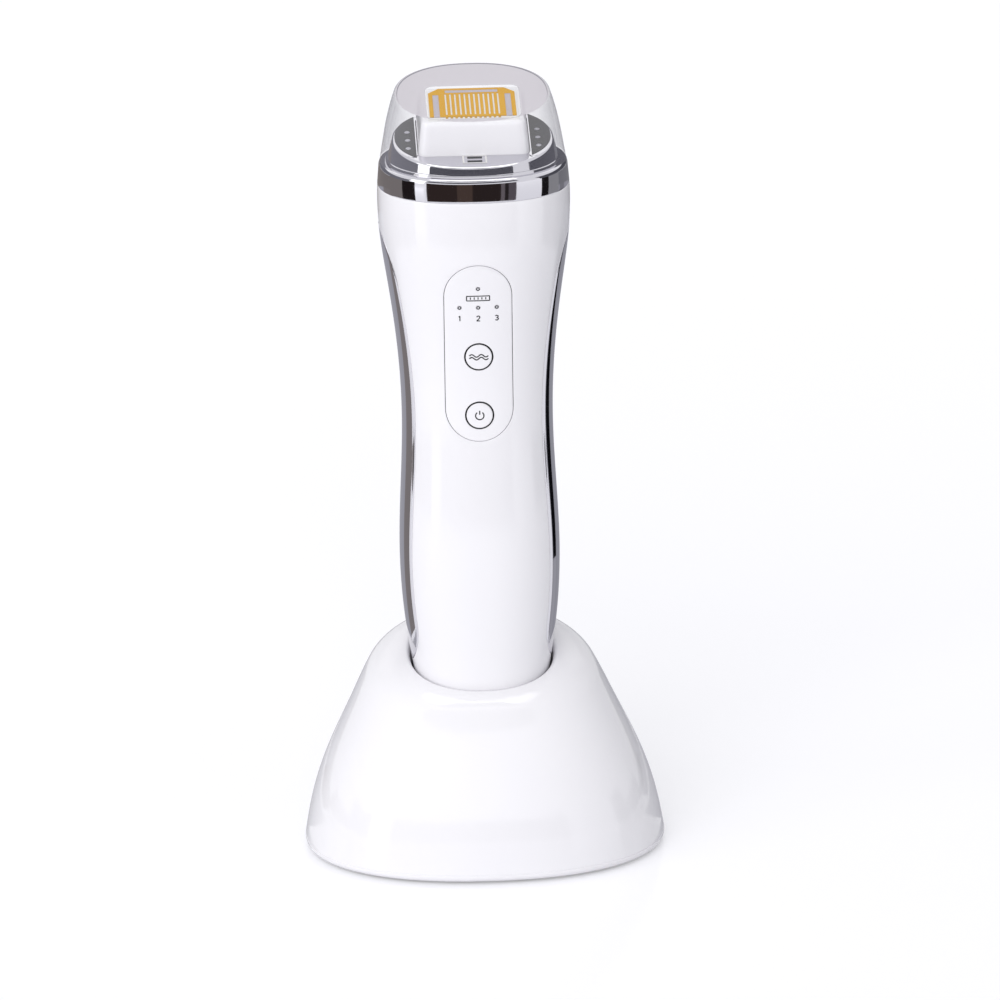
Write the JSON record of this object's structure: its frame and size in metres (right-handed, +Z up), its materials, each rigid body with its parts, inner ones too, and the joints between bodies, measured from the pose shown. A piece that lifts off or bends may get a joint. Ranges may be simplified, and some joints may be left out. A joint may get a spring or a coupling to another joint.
{
  "type": "face lifting device",
  "caption": "Slim white handheld facial care device with a tilted electrode head under a clear cap and press buttons on its front, standing upright in a flared charging stand.",
  "frame": {"origin": "on the floor, under the middle of the charging stand", "axes": "+Z up along the handset, the control panel faces -Y, +X to the right of someone facing it"},
  "size_m": [0.0927, 0.0711, 0.2022],
  "materials": {
    "white_gloss": "moulded, polished white",
    "chrome_trim": "plated, mirror bright",
    "clear_cap": "moulded, clear",
    "ceramic_white": "fired, smooth",
    "gold_film": "gold plated",
    "grey_film": "plated grey",
    "smoke_window": "moulded, smoky",
    "lamp_clear": "moulded, clear",
    "black_rubber": "moulded, matt",
    "black_plastic": "moulded, matt",
    "grey_plastic": "moulded, matt",
    "board_green": "laminated, lacquered",
    "steel": "plain",
    "contact_gold": "gold plated",
    "ferrite": "sintered, dark",
    "copper_wire": "enamelled copper",
    "cell_jacket": "shrink sleeve",
    "can_metal": "drawn can"
  },
  "bodies": {
    "stand": {"stand_shell": "white_gloss", "socket_cup": "white_gloss", "base_plate": "grey_plastic", "foot_pads": "black_rubber", "base_screws": "steel", "contact_carrier": "black_plastic", "pin_spring_left": "steel", "pin_spring_right": "steel", "stand_board": "board_green", "carrier_screws": "steel", "dc_jack": "black_plastic", "dc_jack_pin": "contact_gold"},
    "charge_pin_left": {"charge_pin_left": "contact_gold"},
    "charge_pin_right": {"charge_pin_right": "contact_gold"},
    "handset": {"front_housing": "white_gloss", "rear_housing": "white_gloss", "housing_screws": "steel", "tail_cap": "white_gloss", "charge_contacts": "contact_gold", "charge_board": "board_green", "side_strip_left": "chrome_trim", "side_strip_right": "chrome_trim", "control_panel": "white_gloss", "button_seals": "black_rubber", "mode_switch_case": "black_plastic", "power_switch_case": "black_plastic", "light_guide": "lamp_clear", "indicator_lamps": "lamp_clear", "main_board": "board_green", "board_screws": "steel", "buzzer": "black_plastic", "rf_board": "board_green", "rf_board_screws": "steel", "transformer_core": "ferrite", "transformer_winding": "copper_wire", "capacitors": "can_metal", "battery_cell": "cell_jacket", "battery_cradle": "black_plastic", "head_collar": "chrome_trim", "collar_seal": "black_rubber", "head_block": "white_gloss", "head_screws": "steel", "electrode_carrier": "ceramic_white", "gold_electrode": "gold_film", "grey_electrode": "grey_film", "lamp_window_left": "smoke_window", "lamp_window_right": "smoke_window", "treatment_lamps": "lamp_clear", "lamp_boards": "board_green", "cap_catch": "black_plastic"},
    "mode_button": {"mode_button": "white_gloss", "mode_switch_plunger": "black_plastic"},
    "power_button": {"power_button": "white_gloss", "power_switch_plunger": "black_plastic"},
    "cap": {"protective_cap": "clear_cap"}
  },
  "joints": [
    {"name": "handset_lift", "type": "slide", "parent": "stand", "child": "handset", "axis": [0, 0, 1], "range_m": [0, 0.06]},
    {"name": "cap_lift", "type": "slide", "parent": "handset", "child": "cap", "axis": [0, 0, 1], "range_m": [0, 0.04]},
    {"name": "mode_press", "type": "slide", "parent": "handset", "child": "mode_button", "axis": [0, 1, 0], "range_m": [0, 0.0005], "stiffness_N_per_m": 400},
    {"name": "power_press", "type": "slide", "parent": "handset", "child": "power_button", "axis": [0, 1, 0], "range_m": [0, 0.0005], "stiffness_N_per_m": 400},
    {"name": "charge_pin_left_travel", "type": "slide", "parent": "stand", "child": "charge_pin_left", "axis": [0, 0, 1], "range_m": [-0.001, 0], "stiffness_N_per_m": 300, "deforming": ["pin_spring_left"]},
    {"name": "charge_pin_right_travel", "type": "slide", "parent": "stand", "child": "charge_pin_right", "axis": [0, 0, 1], "range_m": [-0.001, 0], "stiffness_N_per_m": 300, "deforming": ["pin_spring_right"]}
  ]
}
